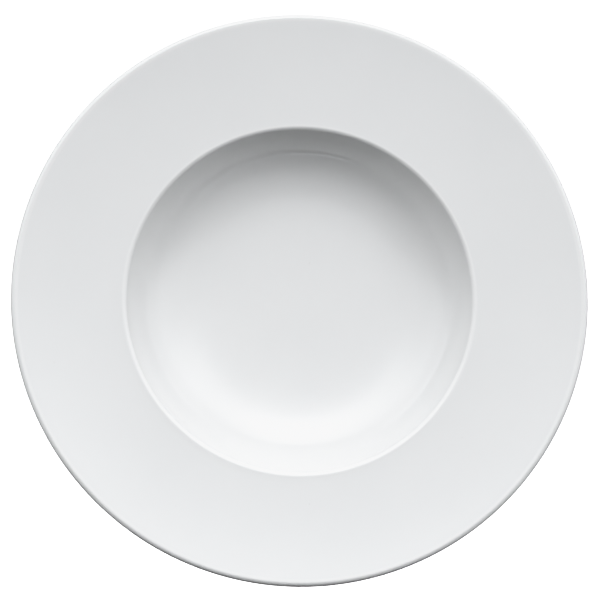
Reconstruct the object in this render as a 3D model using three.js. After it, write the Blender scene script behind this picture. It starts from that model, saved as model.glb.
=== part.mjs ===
// A wide-rimmed porcelain pasta plate: one fired body under a coat of clear glaze.
// The glaze stops short of the foot ring's standing face, which is left dry, so the coat is two pieces:
// one over the well, the rim and the back, and one inside the foot ring.
// Millimetres, +Z up. The origin is the centre of the standing face, on the surface the plate stands on.
import * as THREE from "three";

// The face of the plate, from the middle outwards
const plateDiameter = 300;
const wellDiameter = 184; // at the crest, where the rim turns down into the well
const floorFlatDiameter = 16; // the level disc in the middle of the floor
const floorDiameter = 88; // the floor, the apron and the heel curve up more and more towards the wall
const floorCurveRadius = 800;
const apronDiameter = 112;
const apronRadius = 150;
const heelDiameter = 128;
const heelRadius = 60;
const wallTopSlope = degrees(71); // of the wall just below the crest
const crestRadius = 2.4;
const shoulderRadius = 60; // hollow between the crest and the rim
const rimInnerSlope = degrees(3.6);
const rimOuterSlope = degrees(8);

// Thicknesses and the back
const edgeThickness = 4.6; // of the rim, with a full round lip
const wellThickness = 5; // of the floor and the wall
const backBendRadius = 9; // under the crest, where a finger goes

// The foot ring
const footDiameter = 110; // at the middle of the standing face
const footFaceWidth = 3.4;
const footClearance = 3.2; // under the middle of the floor
const footDraft = degrees(14);
const footFilletRadius = 2.6;
const footEdgeRadius = 0.7;

// The glaze
const glazeThickness = 0.3;
const bondGap = 0.02; // hairline between the glaze and the body
const dryBand = 1; // height of the foot ring that is wiped clean

// Facets
const turnSteps = 48;
const chordError = 0.1;
const coarsestTurn = degrees(26); // of one facet on a small round

function degrees(value) {
  return (value * Math.PI) / 180;
}

// The outward normal of a surface turned by this angle: 0 is up, and outwards is negative.
function normalAt(turn) {
  return new THREE.Vector2(-Math.sin(turn), Math.cos(turn));
}

// Points of an arc with their outward normals. A hollow arc bends round a centre in the air,
// and any other round a centre on the side of the material.
function arcLine({ centre, radius, from, to, hollow = false }) {
  const chordTurn = 2 * Math.acos(1 - Math.min(1, chordError / radius));
  const steps = Math.max(1, Math.ceil(Math.abs(to - from) / Math.min(chordTurn, coarsestTurn)));
  const reach = hollow ? -radius : radius;
  return Array.from({ length: steps + 1 }, (_, step) => {
    const normal = normalAt(THREE.MathUtils.lerp(from, to, step / steps));
    return { point: centre.clone().addScaledVector(normal, reach), normal };
  });
}

// The centre of an arc that leaves a point at a given turn.
function arcCentre(point, radius, turn, hollow = false) {
  return point.clone().addScaledVector(normalAt(turn), hollow ? radius : -radius);
}

// The radius of the arc that spans a horizontal distance between two slopes.
function spanRadius(distance, from, to) {
  return distance / (Math.sin(to) - Math.sin(from));
}

// Where two circles cross, on the side of the second centre from the first that is turned clockwise.
function circleCrossing(first, firstRadius, second, secondRadius) {
  const axis = second.clone().sub(first);
  const distance = axis.length();
  axis.divideScalar(distance);
  const along = (distance ** 2 + firstRadius ** 2 - secondRadius ** 2) / (2 * distance);
  const aside = Math.sqrt(firstRadius ** 2 - along ** 2);
  const right = new THREE.Vector2(axis.y, -axis.x);
  return first.clone().addScaledVector(axis, along).addScaledVector(right, aside);
}

// Where a line that starts outside a circle first meets it.
function lineCrossing(start, direction, centre, radius) {
  const offset = start.clone().sub(centre);
  const along = offset.dot(direction);
  const reach = Math.sqrt(along ** 2 - offset.lengthSq() + radius ** 2);
  return start.clone().addScaledVector(direction, -along - reach);
}

// The turn of the normal that points from one place to another, from -3/4 of a turn up to 1/4.
function turnTowards(from, to) {
  const turn = Math.atan2(from.x - to.x, to.y - from.y);
  return turn > Math.PI / 2 ? turn - 2 * Math.PI : turn;
}

// Arcs that follow each other, with the points they share kept once
function joined(lines) {
  return lines.flatMap((line, index) => (index ? line.slice(1) : line));
}

function moved(line, distance) {
  return line.map(({ point, normal }) => point.clone().addScaledVector(normal, distance));
}

// The arcs of the face, each starting where the last one ends
function faceArcs() {
  const flat = new THREE.Vector2(floorFlatDiameter / 2, footClearance + wellThickness);
  const rimEnd = plateDiameter / 2 - (edgeThickness / 2) * (1 + Math.sin(rimOuterSlope));

  const chain = [];
  const last = () => chain.at(-1) ?? { end: flat, to: 0 };
  function follow(name, radius, to, hollow) {
    const { end: start, to: from } = last();
    const centre = arcCentre(start, radius, from, hollow);
    const end = centre.clone().addScaledVector(normalAt(to), hollow ? -radius : radius);
    chain.push({ name, centre, radius, from, to, hollow, end });
  }
  function hollowOutTo(name, radius, diameter) {
    const rise = Math.sin(last().to) + (diameter / 2 - last().end.x) / radius;
    follow(name, radius, Math.asin(rise), true);
  }

  hollowOutTo("floor", floorCurveRadius, floorDiameter);
  hollowOutTo("apron", apronRadius, apronDiameter);
  hollowOutTo("heel", heelRadius, heelDiameter);
  const wallSpan = wellDiameter / 2 - crestRadius * Math.sin(wallTopSlope) - last().end.x;
  follow("wall", spanRadius(wallSpan, last().to, wallTopSlope), wallTopSlope, true);
  follow("crest", crestRadius, 0, false);
  follow("shoulder", shoulderRadius, rimInnerSlope, true);
  const rimSpan = rimEnd - last().end.x;
  follow("rim", spanRadius(rimSpan, rimInnerSlope, rimOuterSlope), rimOuterSlope, true);
  follow("lip", edgeThickness / 2, rimOuterSlope - Math.PI, false);
  return Object.fromEntries(chain.map((arc) => [arc.name, arc]));
}

// The round of the back that runs at this thickness under a hollow of the face
function backOf(hollow, thickness) {
  return { centre: hollow.centre, radius: hollow.radius + thickness };
}

// A side of the foot ring: its dry edge, the way up it and its turn, for +1 outside and -1 inside
function footSide(side) {
  const turn = -Math.PI / 2 - (side > 0 ? footDraft : Math.PI - footDraft);
  const up = new THREE.Vector2(side * Math.sin(footDraft), Math.cos(footDraft));
  const foot = new THREE.Vector2((footDiameter + side * footFaceWidth) / 2, 0);
  const bareEdge = foot.addScaledVector(up, dryBand / up.y);
  const dryEdge = bareEdge.addScaledVector(normalAt(turn), glazeThickness);
  return { turn, up, dryEdge };
}

// The fillet between a side of the foot ring and the round back above it
function footFillet(side, back) {
  const start = side.dryEdge.clone().addScaledVector(normalAt(side.turn), footFilletRadius);
  return lineCrossing(start, side.up, back.centre, back.radius + footFilletRadius);
}

// The glazed line of the face and the back, from the middle of the floor to the foot's outer dry edge
function coatLine(face) {
  const middle = {
    point: new THREE.Vector2(0, footClearance + wellThickness),
    normal: normalAt(0),
  };
  const backRim = backOf(face.rim, edgeThickness);
  const backWall = backOf(face.wall, wellThickness);
  const backHeel = backOf(face.heel, wellThickness);
  const bend = circleCrossing(
    backWall.centre,
    backWall.radius + backBendRadius,
    backRim.centre,
    backRim.radius + backBendRadius,
  );
  const outside = footSide(1);
  const fillet = footFillet(outside, backHeel);

  const underLip = rimOuterSlope - Math.PI;
  const bendTop = turnTowards(backRim.centre, bend);
  const bendFoot = turnTowards(backWall.centre, bend);
  const wallFoot = face.wall.from - Math.PI;
  const filletTop = turnTowards(backHeel.centre, fillet);
  const arcs = [
    ...Object.values(face),
    { ...backRim, from: underLip, to: bendTop },
    { centre: bend, radius: backBendRadius, from: bendTop, to: bendFoot, hollow: true },
    { ...backWall, from: bendFoot, to: wallFoot },
    { ...backHeel, from: wallFoot, to: filletTop },
    { centre: fillet, radius: footFilletRadius, from: filletTop, to: outside.turn, hollow: true },
  ];
  const dryEdge = { point: outside.dryEdge, normal: normalAt(outside.turn) };
  return [middle, ...joined(arcs.map(arcLine)), dryEdge];
}

// The glazed line inside the foot ring, from its dry edge to the middle
function recessLine(face) {
  const inside = footSide(-1);
  const backApron = backOf(face.apron, wellThickness);
  const backFloor = backOf(face.floor, wellThickness);
  const fillet = footFillet(inside, backApron);
  const filletTop = turnTowards(backApron.centre, fillet);
  const floorEdge = face.floor.to - Math.PI;
  const arcs = [
    { centre: fillet, radius: footFilletRadius, from: inside.turn, to: filletTop, hollow: true },
    { ...backApron, from: filletTop, to: floorEdge },
    { ...backFloor, from: floorEdge, to: -Math.PI },
  ];
  const dryEdge = { point: inside.dryEdge, normal: normalAt(inside.turn) };
  const middle = { point: new THREE.Vector2(0, footClearance), normal: normalAt(-Math.PI) };
  return [dryEdge, ...joined(arcs.map(arcLine)), middle];
}

// The bare standing face with its rounded edges, from the outside in
function standingLine() {
  return [1, -1].flatMap((side) => {
    const { turn } = footSide(side);
    // the round touches the side and the standing face
    const tuck = footEdgeRadius * Math.tan((Math.PI / 2 - footDraft) / 2);
    const corner = (footDiameter + side * footFaceWidth) / 2;
    const centre = new THREE.Vector2(corner - side * tuck, footEdgeRadius);
    const [from, to] = side > 0 ? [turn, -Math.PI] : [-Math.PI, turn];
    return arcLine({ centre, radius: footEdgeRadius, from, to }).map(({ point }) => point);
  });
}

// A solid turned from a closed half-section, with the wheel's axis along +Z
function turned(name, section, material) {
  const geometry = new THREE.LatheGeometry(section, turnSteps).rotateX(Math.PI / 2);
  const mesh = new THREE.Mesh(geometry, material);
  mesh.name = name;
  return mesh;
}

function makePlate() {
  const biscuit = new THREE.MeshStandardMaterial({ color: 0xe6e2da, roughness: 0.85, metalness: 0 });
  const glaze = new THREE.MeshStandardMaterial({ color: 0xe4e6e8, roughness: 0.08, metalness: 0 });
  const face = faceArcs();
  const coat = coatLine(face);
  const recess = recessLine(face);

  const body = [...moved(coat, -glazeThickness), ...standingLine(), ...moved(recess, -glazeThickness)];
  const coatSection = [...moved(coat, 0), ...moved(coat, bondGap - glazeThickness).reverse()];
  const recessSection = [...moved(recess, bondGap - glazeThickness).reverse(), ...moved(recess, 0)];

  const plate = new THREE.Group();
  plate.add(turned("porcelain_body", body.reverse(), biscuit));
  plate.add(turned("glaze_coat", coatSection.reverse(), glaze));
  plate.add(turned("foot_recess_glaze", recessSection.reverse(), glaze));
  return plate;
}

export default makePlate();
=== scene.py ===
import math

import bpy
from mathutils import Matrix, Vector


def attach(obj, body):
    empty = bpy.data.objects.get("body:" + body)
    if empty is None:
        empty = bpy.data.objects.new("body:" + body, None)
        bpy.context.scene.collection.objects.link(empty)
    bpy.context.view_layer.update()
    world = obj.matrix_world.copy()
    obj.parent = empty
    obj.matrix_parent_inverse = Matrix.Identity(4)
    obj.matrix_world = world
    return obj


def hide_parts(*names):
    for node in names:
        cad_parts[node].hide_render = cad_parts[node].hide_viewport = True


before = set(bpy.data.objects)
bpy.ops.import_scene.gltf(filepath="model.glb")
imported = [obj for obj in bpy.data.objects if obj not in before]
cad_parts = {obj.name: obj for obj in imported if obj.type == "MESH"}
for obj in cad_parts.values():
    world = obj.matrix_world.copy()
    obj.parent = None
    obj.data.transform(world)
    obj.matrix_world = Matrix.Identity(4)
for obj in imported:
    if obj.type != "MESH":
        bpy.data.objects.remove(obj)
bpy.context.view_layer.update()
print("frame loaded:", ", ".join(sorted(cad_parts)))


# everything below turns on the wheel's axis, which is Z; metres, slopes in degrees
plateShape = {
    "diameter": 0.300,
    "wellDiameter": 0.184,  # at the crest, where the rim turns down
    "floorFlat": 0.016,  # level disc in the middle
    "floorDiameter": 0.088,
    "floorRadius": 0.800,
    "apronDiameter": 0.112,
    "apronRadius": 0.150,
    "heelDiameter": 0.128,
    "heelRadius": 0.060,
    "wallTopSlope": 71.0,
    "crestRadius": 0.0024,
    "shoulderRadius": 0.060,  # hollow just outside the crest
    "rimInnerSlope": 3.6,
    "rimOuterSlope": 8.0,
    "edgeThickness": 0.0046,
    "wellThickness": 0.0050,
    "backBend": 0.009,  # under the crest
    "seedSize": 0.001,  # plane that is merged to the first station
    "mergeReach": 0.000002,  # closes the seam and the poles
    "spinSteps": 192,
    "longestChord": 0.002,
    "sharpestTurn": 6.0,  # of one facet on a small round
    "keptCorner": 40.0,  # sharper corners stay crisp
}

footShape = {
    "diameter": 0.110,
    "faceWidth": 0.0034,
    "clearance": 0.0032,  # under the middle of the floor
    "draft": 14.0,
    "fillet": 0.0026,
    "edgeRound": 0.0007,
}

coatShape = {
    "thickness": 0.0003,
    "bondGap": 0.00002,  # hairline to the body
    "dryBand": 0.001,  # height wiped clean at the foot
}


def clearSelection():
    if bpy.context.object and bpy.context.object.mode != "OBJECT":
        bpy.ops.object.mode_set(mode="OBJECT")
    bpy.ops.object.select_all(action="DESELECT")


def outward(turn):  # 0 is up, minus a quarter turn is away from the axis
    return Vector((-math.sin(turn), math.cos(turn)))


def turnTowards(start, end):
    turn = math.atan2(start.x - end.x, end.y - start.y)
    return turn - math.tau if turn > math.pi / 2 else turn


def arcRun(centre, radius, start, end, hollow=False):
    sweep = abs(end - start)
    byChord = math.ceil(radius * sweep / plateShape["longestChord"])
    byTurn = math.ceil(sweep / math.radians(plateShape["sharpestTurn"]))
    steps = max(byChord, byTurn, 1)
    reach = -radius if hollow else radius
    run = []
    for step in range(steps + 1):
        turn = start + (end - start) * step / steps
        run.append((centre + outward(turn) * reach, turn))
    return run


def followOn(run, radius, end, hollow=False):  # next arc leaves the last station in line with it
    place, turn = run[-1]
    centre = place + outward(turn) * (radius if hollow else -radius)
    run.extend(arcRun(centre, radius, turn, end, hollow)[1:])
    return centre


def hollowOutTo(run, radius, diameter):
    place, turn = run[-1]
    rise = math.sin(turn) + (diameter / 2 - place.x) / radius
    return followOn(run, radius, math.asin(rise), True)


def spanRadius(width, start, end):
    return width / (math.sin(end) - math.sin(start))


def circleCrossing(first, firstRadius, second, secondRadius):
    axis = second - first
    apart = axis.length
    axis = axis / apart
    along = (apart**2 + firstRadius**2 - secondRadius**2) / (2 * apart)
    aside = math.sqrt(firstRadius**2 - along**2)
    return first + axis * along + Vector((axis.y, -axis.x)) * aside


def lineCrossing(start, heading, centre, radius):  # first meeting of a line with a circle
    offset = start - centre
    along = offset.dot(heading)
    return start + heading * (-along - math.sqrt(along**2 - offset.length_squared + radius**2))


def footSide(side):  # +1 is the outside of the ring, -1 the inside
    draft = math.radians(footShape["draft"])
    turn = -math.pi / 2 - (draft if side > 0 else math.pi - draft)
    heading = Vector((side * math.sin(draft), math.cos(draft)))
    corner = Vector(((footShape["diameter"] + side * footShape["faceWidth"]) / 2, 0))
    dryEdge = corner + heading * (coatShape["dryBand"] / heading.y)
    return turn, heading, dryEdge + outward(turn) * coatShape["thickness"]


def footFillet(side, backCentre, backRadius):
    turn, heading, dryEdge = footSide(side)
    start = dryEdge + outward(turn) * footShape["fillet"]
    return lineCrossing(start, heading, backCentre, backRadius + footShape["fillet"])


def glazedRuns():  # stations of the face and back, and of the recess in the foot ring
    shape = plateShape
    wallTop = math.radians(shape["wallTopSlope"])
    rimInner = math.radians(shape["rimInnerSlope"])
    rimOuter = math.radians(shape["rimOuterSlope"])
    floorTop = footShape["clearance"] + shape["wellThickness"]

    run = [(Vector((0, floorTop)), 0), (Vector((shape["floorFlat"] / 2, floorTop)), 0)]
    floorCentre = hollowOutTo(run, shape["floorRadius"], shape["floorDiameter"])
    floorEdge = run[-1][1] - math.pi
    apronCentre = hollowOutTo(run, shape["apronRadius"], shape["apronDiameter"])
    heelCentre = hollowOutTo(run, shape["heelRadius"], shape["heelDiameter"])
    wallFoot = run[-1][1]
    crestFoot = shape["wellDiameter"] / 2 - shape["crestRadius"] * math.sin(wallTop)
    wallRadius = spanRadius(crestFoot - run[-1][0].x, wallFoot, wallTop)
    wallCentre = followOn(run, wallRadius, wallTop, True)
    followOn(run, shape["crestRadius"], 0)
    followOn(run, shape["shoulderRadius"], rimInner, True)
    lipRadius = shape["edgeThickness"] / 2
    rimEnd = shape["diameter"] / 2 - lipRadius * (1 + math.sin(rimOuter))
    rimRadius = spanRadius(rimEnd - run[-1][0].x, rimInner, rimOuter)
    rimCentre = followOn(run, rimRadius, rimOuter, True)
    followOn(run, lipRadius, rimOuter - math.pi)

    backRim = rimRadius + shape["edgeThickness"]
    backWall = wallRadius + shape["wellThickness"]
    backHeel = shape["heelRadius"] + shape["wellThickness"]
    bendRadius = shape["backBend"]
    bend = circleCrossing(wallCentre, backWall + bendRadius, rimCentre, backRim + bendRadius)
    bendTop = turnTowards(rimCentre, bend)
    bendFoot = turnTowards(wallCentre, bend)
    fillet = footFillet(1, heelCentre, backHeel)
    filletTop = turnTowards(heelCentre, fillet)
    sideTurn, _, dryEdge = footSide(1)
    run.extend(arcRun(rimCentre, backRim, rimOuter - math.pi, bendTop)[1:])
    run.extend(arcRun(bend, bendRadius, bendTop, bendFoot, True)[1:])
    run.extend(arcRun(wallCentre, backWall, bendFoot, wallFoot - math.pi)[1:])
    run.extend(arcRun(heelCentre, backHeel, wallFoot - math.pi, filletTop)[1:])
    run.extend(arcRun(fillet, footShape["fillet"], filletTop, sideTurn, True)[1:])
    run.append((dryEdge, sideTurn))

    backApron = shape["apronRadius"] + shape["wellThickness"]
    backFloor = shape["floorRadius"] + shape["wellThickness"]
    innerFillet = footFillet(-1, apronCentre, backApron)
    innerTop = turnTowards(apronCentre, innerFillet)
    innerTurn, _, innerEdge = footSide(-1)
    recess = [(innerEdge, innerTurn)]
    recess.extend(arcRun(innerFillet, footShape["fillet"], innerTurn, innerTop, True))
    recess.extend(arcRun(apronCentre, backApron, innerTop, floorEdge)[1:])
    recess.extend(arcRun(floorCentre, backFloor, floorEdge, -math.pi)[1:])
    recess.append((Vector((0, footShape["clearance"])), -math.pi))
    return run, recess


def standingRun():  # the bare face of the foot ring, from the outside in
    draft = math.radians(footShape["draft"])
    edgeRound = footShape["edgeRound"]
    tuck = edgeRound * math.tan((math.pi / 2 - draft) / 2)
    run = []
    for side in (1, -1):
        turn = footSide(side)[0]
        corner = (footShape["diameter"] + side * footShape["faceWidth"]) / 2
        centre = Vector((corner - side * tuck, edgeRound))
        start, end = (turn, -math.pi) if side > 0 else (-math.pi, turn)
        run.extend(arcRun(centre, edgeRound, start, end))
    return run


def movedLine(run, distance):
    return [place + outward(turn) * distance for place, turn in run]


def turnOnWheel(name, outline):
    clearSelection()
    bpy.ops.mesh.primitive_plane_add(size=plateShape["seedSize"])
    piece = bpy.context.object
    piece.name = name
    piece.data.name = name
    bpy.ops.object.mode_set(mode="EDIT")
    bpy.ops.mesh.merge(type="CENTER")
    bpy.ops.transform.translate(value=(outline[0].x, 0, outline[0].y))
    for here, there in zip(outline, outline[1:]):
        step = there - here
        bpy.ops.mesh.extrude_vertices_move(TRANSFORM_OT_translate={"value": (step.x, 0, step.y)})
    bpy.ops.mesh.select_all(action="SELECT")
    bpy.ops.mesh.spin(steps=plateShape["spinSteps"], angle=math.tau, center=(0, 0, 0), axis=(0, 0, 1))
    bpy.ops.mesh.select_all(action="SELECT")
    bpy.ops.mesh.remove_doubles(threshold=plateShape["mergeReach"])
    bpy.ops.mesh.normals_make_consistent(inside=False)
    bpy.ops.object.mode_set(mode="OBJECT")
    bpy.ops.object.shade_smooth_by_angle(angle=math.radians(plateShape["keptCorner"]))
    print("turned", name, len(outline), "stations,", len(piece.data.polygons), "faces")
    return piece


# node helpers for the finishes
def startFinish(name):
    finish = bpy.data.materials.new(name)
    finish.use_nodes = True
    tree = finish.node_tree
    shader = tree.nodes["Principled BSDF"]
    return finish, tree, shader


def addNode(tree, kind, settings=None, **sockets):
    node = tree.nodes.new(kind)
    for key, value in (settings or {}).items():
        setattr(node, key, value)
    for key, value in sockets.items():
        node.inputs[key].default_value = value
    return node


def wire(tree, source, target):
    tree.links.new(source, target)


def objectPlace(tree):
    return addNode(tree, "ShaderNodeTexCoord").outputs["Object"]


def distanceFromAxis(tree, place):
    flat = addNode(tree, "ShaderNodeVectorMath", {"operation": "MULTIPLY"})
    flat.inputs[1].default_value = (1, 1, 0)  # height left out
    wire(tree, place, flat.inputs[0])
    length = addNode(tree, "ShaderNodeVectorMath", {"operation": "LENGTH"})
    wire(tree, flat.outputs["Vector"], length.inputs[0])
    return length.outputs["Value"]


def noiseOver(tree, place, scale, detail):
    noise = addNode(tree, "ShaderNodeTexNoise", Scale=scale, Detail=detail)
    wire(tree, place, noise.inputs["Vector"])
    return noise.outputs["Fac"]


def stretched(tree, value, fromLow, fromHigh, toLow, toHigh, smooth=False):
    kind = "SMOOTHSTEP" if smooth else "LINEAR"
    limits = {"From Min": fromLow, "From Max": fromHigh, "To Min": toLow, "To Max": toHigh}
    node = addNode(tree, "ShaderNodeMapRange", {"interpolation_type": kind}, **limits)
    wire(tree, value, node.inputs["Value"])
    return node.outputs["Result"]


def combined(tree, operation, *values):
    node = addNode(tree, "ShaderNodeMath", {"operation": operation})
    for socket, value in zip(node.inputs, values):
        if isinstance(value, (int, float)):
            socket.default_value = value
        else:
            wire(tree, value, socket)
    return node.outputs["Value"]


def tinted(tree, amount, first, second):
    node = addNode(tree, "ShaderNodeMix", {"data_type": "RGBA"})
    colours = [socket for socket in node.inputs if socket.type == "RGBA"]
    for socket, value in zip(colours, (first, second)):
        if isinstance(value, tuple):
            socket.default_value = (*value, 1)
        else:
            wire(tree, value, socket)
    wire(tree, amount, node.inputs["Factor"])
    return [socket for socket in node.outputs if socket.type == "RGBA"][0]


def raised(tree, height, distance, under=None):
    bump = addNode(tree, "ShaderNodeBump", Strength=1.0, Distance=distance)
    wire(tree, height, bump.inputs["Height"])
    if under:
        wire(tree, under, bump.inputs["Normal"])
    return bump.outputs["Normal"]


glazeLook = {
    "white": (0.811, 0.807, 0.800),
    "pooled": (0.800, 0.797, 0.791),  # where it lies thicker
    "thinAndHighlight": (0.843, 0.838, 0.829),  # over the crest and the lip: a painted highlight, where the glaze also runs thin
    "speck": (0.42, 0.38, 0.33),
    "crestInset": 0.0006,  # middle of the thin line, inside the crest
    "lipInset": 0.0028,  # and inside the edge
    "highlightFull": 0.0003,  # half widths of the painted highlight line
    "highlightEnd": 0.0015,
    "cloudScale": 22,  # per metre, like every scale here
    "cloudDetail": 3,
    "cloudStart": 0.35,  # levels of the noise
    "cloudFull": 0.65,
    "speckScale": 60,
    "speckSize": 0.0002,
    "roughScale": 70,
    "roughDetail": 2,
    "roughStart": 0.3,
    "roughFull": 0.7,
    "roughLow": 0.018,
    "roughHigh": 0.036,
    "rollScale": 45,
    "rollDetail": 1,
    "rollDepth": 0.000006,
    "peelScale": 420,
    "peelDetail": 2,
    "peelDepth": 0.0000008,
    "ior": 1.5,
}


def thinAndHighlightLine(tree, reach, radius):  # where the glaze runs thin over a rounded edge and a highlight is painted along it
    aside = combined(tree, "ABSOLUTE", combined(tree, "SUBTRACT", reach, radius))
    return stretched(tree, aside, glazeLook["highlightEnd"], glazeLook["highlightFull"], 0, 1, True)


def glazeFinish(name):
    finish, tree, shader = startFinish(name)
    place = objectPlace(tree)
    reach = distanceFromAxis(tree, place)
    cloud = noiseOver(tree, place, glazeLook["cloudScale"], glazeLook["cloudDetail"])
    cloud = stretched(tree, cloud, glazeLook["cloudStart"], glazeLook["cloudFull"], 0, 1)
    colour = tinted(tree, cloud, glazeLook["white"], glazeLook["pooled"])
    crestLine = thinAndHighlightLine(tree, reach, plateShape["wellDiameter"] / 2 - glazeLook["crestInset"])
    lipLine = thinAndHighlightLine(tree, reach, plateShape["diameter"] / 2 - glazeLook["lipInset"])
    # the crest and lip lines are painted lighter than the white: a painted highlight over thinner glaze
    colour = tinted(tree, combined(tree, "MAXIMUM", crestLine, lipLine), colour, glazeLook["thinAndHighlight"])
    cells = addNode(tree, "ShaderNodeTexVoronoi", Scale=glazeLook["speckScale"])
    wire(tree, place, cells.inputs["Vector"])
    speckReach = glazeLook["speckScale"] * glazeLook["speckSize"]  # the cells measure in their own scale
    speck = stretched(tree, cells.outputs["Distance"], speckReach, speckReach / 2, 0, 1)
    wire(tree, tinted(tree, speck, colour, glazeLook["speck"]), shader.inputs["Base Color"])
    rough = noiseOver(tree, place, glazeLook["roughScale"], glazeLook["roughDetail"])
    rough = stretched(
        tree, rough, glazeLook["roughStart"], glazeLook["roughFull"],
        glazeLook["roughLow"], glazeLook["roughHigh"],
    )
    wire(tree, rough, shader.inputs["Roughness"])
    shader.inputs["IOR"].default_value = glazeLook["ior"]
    roll = noiseOver(tree, place, glazeLook["rollScale"], glazeLook["rollDetail"])
    roll = raised(tree, roll, glazeLook["rollDepth"])
    peel = noiseOver(tree, place, glazeLook["peelScale"], glazeLook["peelDetail"])
    peel = raised(tree, peel, glazeLook["peelDepth"], roll)
    wire(tree, peel, shader.inputs["Normal"])
    return finish


biscuitLook = {
    "clay": (0.77, 0.74, 0.69),
    "scuffed": (0.55, 0.53, 0.50),  # rubbed grey by tables and other plates
    "scuffScale": 160,
    "scuffDetail": 4,
    "scuffStart": 0.52,
    "scuffFull": 0.75,
    "grainScale": 3500,
    "grainDetail": 3,
    "grainDepth": 0.00004,
    "grainStart": 0.2,
    "grainFull": 0.8,
    "roughLow": 0.75,
    "roughHigh": 0.95,
}


def biscuitFinish(name):
    finish, tree, shader = startFinish(name)
    place = objectPlace(tree)
    scuff = noiseOver(tree, place, biscuitLook["scuffScale"], biscuitLook["scuffDetail"])
    scuff = stretched(tree, scuff, biscuitLook["scuffStart"], biscuitLook["scuffFull"], 0, 1)
    colour = tinted(tree, scuff, biscuitLook["clay"], biscuitLook["scuffed"])
    wire(tree, colour, shader.inputs["Base Color"])
    grain = noiseOver(tree, place, biscuitLook["grainScale"], biscuitLook["grainDetail"])
    rough = stretched(
        tree, grain, biscuitLook["grainStart"], biscuitLook["grainFull"],
        biscuitLook["roughLow"], biscuitLook["roughHigh"],
    )
    wire(tree, rough, shader.inputs["Roughness"])
    wire(tree, raised(tree, grain, biscuitLook["grainDepth"]), shader.inputs["Normal"])
    return finish


coatRun, recessRun = glazedRuns()
skin = coatShape["bondGap"] - coatShape["thickness"]
whiteGlaze = glazeFinish("white_glaze")
biscuitPorcelain = biscuitFinish("biscuit_porcelain")

glazeCoat = turnOnWheel("glaze_coat_skin", movedLine(coatRun, 0) + movedLine(coatRun, skin)[::-1])
recessGlaze = turnOnWheel("foot_recess_skin", movedLine(recessRun, skin)[::-1] + movedLine(recessRun, 0))
bodyLine = movedLine(coatRun, -coatShape["thickness"])
bodyLine += movedLine(standingRun(), 0)
bodyLine += movedLine(recessRun, -coatShape["thickness"])
plateBody = turnOnWheel("porcelain_core", bodyLine)

for piece, node, slot, finish in (
    (glazeCoat, "glaze_coat", "white_glaze", whiteGlaze),
    (recessGlaze, "foot_recess_glaze", "white_glaze", whiteGlaze),
    (plateBody, "porcelain_body", "biscuit_porcelain", biscuitPorcelain),
):
    piece.data.materials.clear()
    piece.data.materials.append(finish)
    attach(piece, "root")
    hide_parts(node)
print("pieces ride on the plate")


cameraSetup = {
    "distance": 4.0,
    "tilt": 8.5,  # from straight above
    "swing": 17.5,  # round to the left of the front
    "aimHeight": 0.0402,
    "lens": 462.7,  # lens and sensor in millimetres
    "sensor": 36,
    "shiftX": 0.0003,
    "shiftY": -0.0008,
}

tilt = math.radians(cameraSetup["tilt"])
swing = math.radians(cameraSetup["swing"])
leanLeft = math.sin(tilt) * math.sin(swing)
leanFront = math.sin(tilt) * math.cos(swing)
clearSelection()
bpy.ops.object.camera_add(
    location=(
        -leanLeft * cameraSetup["distance"],
        -leanFront * cameraSetup["distance"],
        cameraSetup["aimHeight"] + math.cos(tilt) * cameraSetup["distance"],
    ),
    rotation=(math.asin(leanFront), -math.atan2(leanLeft, math.cos(tilt)), 0),
)
camera = bpy.context.object
camera.data.lens = cameraSetup["lens"]
camera.data.sensor_width = cameraSetup["sensor"]
camera.data.shift_x = cameraSetup["shiftX"]
camera.data.shift_y = cameraSetup["shiftY"]
bpy.context.scene.camera = camera

floorSetup = {
    "size": 8.0,
    "white": (0.9, 0.9, 0.9),
    "rough": 0.9,
    "glow": 3.0,
}

clearSelection()
bpy.ops.mesh.primitive_plane_add(size=floorSetup["size"])
floor = bpy.context.object
floor.name = "studio_floor"
floorFinish, tree, shader = startFinish("pale_floor")
shader.inputs["Base Color"].default_value = (*floorSetup["white"], 1)
shader.inputs["Roughness"].default_value = floorSetup["rough"]
shader.inputs["Emission Color"].default_value = (1, 1, 1, 1)
shader.inputs["Emission Strength"].default_value = floorSetup["glow"]
openBelow = addNode(tree, "ShaderNodeMixShader")
wire(tree, addNode(tree, "ShaderNodeNewGeometry").outputs["Backfacing"], openBelow.inputs["Fac"])
wire(tree, shader.outputs["BSDF"], openBelow.inputs[1])
wire(tree, addNode(tree, "ShaderNodeBsdfTransparent").outputs["BSDF"], openBelow.inputs[2])
wire(tree, openBelow.outputs["Shader"], tree.nodes["Material Output"].inputs["Surface"])
floor.data.materials.append(floorFinish)
floor.visible_diffuse = False
floor.visible_glossy = False
floor.visible_shadow = False

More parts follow.
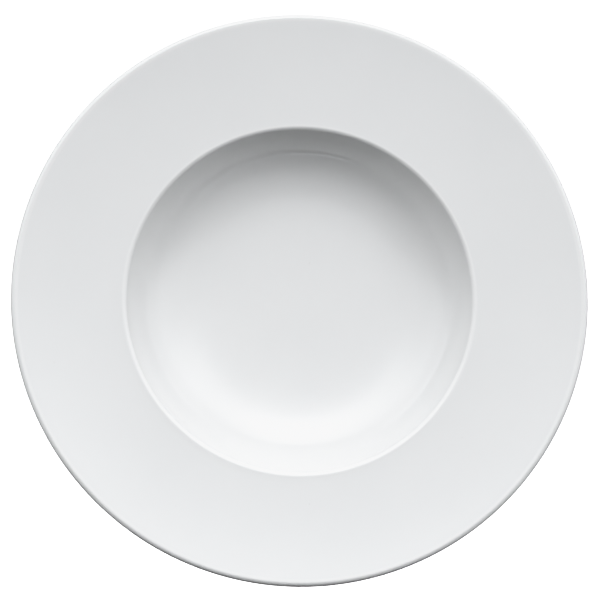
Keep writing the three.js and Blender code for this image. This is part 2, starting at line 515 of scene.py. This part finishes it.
# glowing panels of the light tent; degrees, azimuth from +X and elevation above the table
tentPanels = {
    "key": {
        "azimuth": 88, "reach": 6, "feather": 34, "glow": 1.77,
        "low": 27, "lowFade": 6, "high": 54, "highFade": 20,
    },
    "wide": {
        "azimuth": 84, "reach": 26, "feather": 42, "glow": 2.16,
        "low": 50, "lowFade": 30, "high": 60, "highFade": 24,
    },
    "top": {
        "azimuth": 86, "reach": 180, "feather": 10, "glow": 0.89,
        "low": 90, "lowFade": 20, "high": 90, "highFade": 8,
    },
    "left": {
        "azimuth": 146, "reach": 16, "feather": 26, "glow": 1.23,
        "low": 0, "lowFade": 3, "high": 15, "highFade": 45,
    },
    "right": {
        "azimuth": 26, "reach": 16, "feather": 26, "glow": 1.12,
        "low": 0, "lowFade": 3, "high": 15, "highFade": 50,
    },
    "leftHigh": {
        "azimuth": 152, "reach": 16, "feather": 30, "glow": 0.98,
        "low": 40, "lowFade": 25, "high": 66, "highFade": 18,
    },
    "rightHigh": {
        "azimuth": 20, "reach": 16, "feather": 30, "glow": 1.06,
        "low": 40, "lowFade": 25, "high": 66, "highFade": 18,
    },
    "horizon": {
        "azimuth": 86, "reach": 55, "feather": 40, "glow": 1.7,
        "low": 0, "lowFade": 3, "high": 3, "highFade": 9,
    },
    "card": {  # its edge is mirrored in the far wall
        "azimuth": -100, "reach": 50, "feather": 25, "glow": 1.4,
        "low": 12, "lowFade": 0.4, "high": 14, "highFade": 0.6, "lean": 0.1,
    },
    "fill": {
        "azimuth": -94, "reach": 40, "feather": 30, "glow": 0.22,
        "low": 44, "lowFade": 14, "high": 62, "highFade": 14,
    },
}

surround = {
    "bounce": 1.2,  # light that the white table sends up under the plate
    "bounceFull": -50,
    "bounceEnd": -15,
    "tint": (0.981, 1.0, 1.020),
    "backdrop": (2, 2, 2),  # only what the camera sees past the floor
}


def panelGlow(tree, panel, azimuth, elevation):
    aside = combined(tree, "SUBTRACT", azimuth, math.radians(panel["azimuth"]))
    aside = combined(tree, "WRAP", aside, math.pi, -math.pi)
    if "lean" in panel:  # the panel climbs towards one side
        climb = combined(tree, "MULTIPLY", aside, panel["lean"])
        elevation = combined(tree, "SUBTRACT", elevation, climb)
    aside = combined(tree, "ABSOLUTE", aside)
    reach = math.radians(panel["reach"])
    across = stretched(tree, aside, reach + math.radians(panel["feather"]), reach, 0, 1, True)
    low = math.radians(panel["low"])
    rising = stretched(tree, elevation, low - math.radians(panel["lowFade"]), low, 0, 1, True)
    high = math.radians(panel["high"])
    falling = stretched(tree, elevation, high + math.radians(panel["highFade"]), high, 0, 1, True)
    level = combined(tree, "MULTIPLY", combined(tree, "MULTIPLY", rising, falling), across)
    return combined(tree, "MULTIPLY", level, panel["glow"])


world = bpy.data.worlds.new("light_tent")
bpy.context.scene.world = world
world.use_nodes = True
tree = world.node_tree
heading = addNode(tree, "ShaderNodeSeparateXYZ")
wire(tree, addNode(tree, "ShaderNodeTexCoord").outputs["Generated"], heading.inputs["Vector"])
azimuth = combined(tree, "ARCTAN2", heading.outputs["Y"], heading.outputs["X"])
elevation = combined(tree, "ARCSINE", heading.outputs["Z"])
bounceFull = math.radians(surround["bounceFull"])
bounceEnd = math.radians(surround["bounceEnd"])
tentLight = stretched(tree, elevation, bounceFull, bounceEnd, surround["bounce"], 0, True)
for panel in tentPanels.values():
    tentLight = combined(tree, "ADD", tentLight, panelGlow(tree, panel, azimuth, elevation))
coolLight = addNode(tree, "ShaderNodeVectorMath", {"operation": "SCALE"})
coolLight.inputs[0].default_value = surround["tint"]
wire(tree, tentLight, coolLight.inputs["Scale"])
seen = addNode(tree, "ShaderNodeLightPath").outputs["Is Camera Ray"]
showing = tinted(tree, seen, coolLight.outputs["Vector"], surround["backdrop"])
wire(tree, showing, tree.nodes["Background"].inputs["Color"])

# tone of the picture: shadows a little deeper, and some tone kept in the brightest reflections
exposureSetup = {
    "toe": ((0.15, 0.1), (0.26, 0.2), (0.36, 0.325)),
    "straight": ((0.5, 0.492), (0.8, 0.8)),
    "shoulder": ((0.9, 0.885), (1.0, 0.935), (1.15, 0.95)),
    "paperWhite": 1.6,  # brightness that shows as pure white
    "allChannels": 3,  # place of the curve that works on red, green and blue together
}

view = bpy.context.scene.view_settings
view.view_transform = "Standard"
view.use_curve_mapping = True
view.curve_mapping.use_clip = False
tone = view.curve_mapping.curves[exposureSetup["allChannels"]]
tone.points[1].location = (exposureSetup["paperWhite"], 1)
for stretch in ("toe", "straight", "shoulder"):
    for brightness, shown in exposureSetup[stretch]:
        tone.points.new(brightness, shown)
view.curve_mapping.update()
print("camera, floor and light are set")
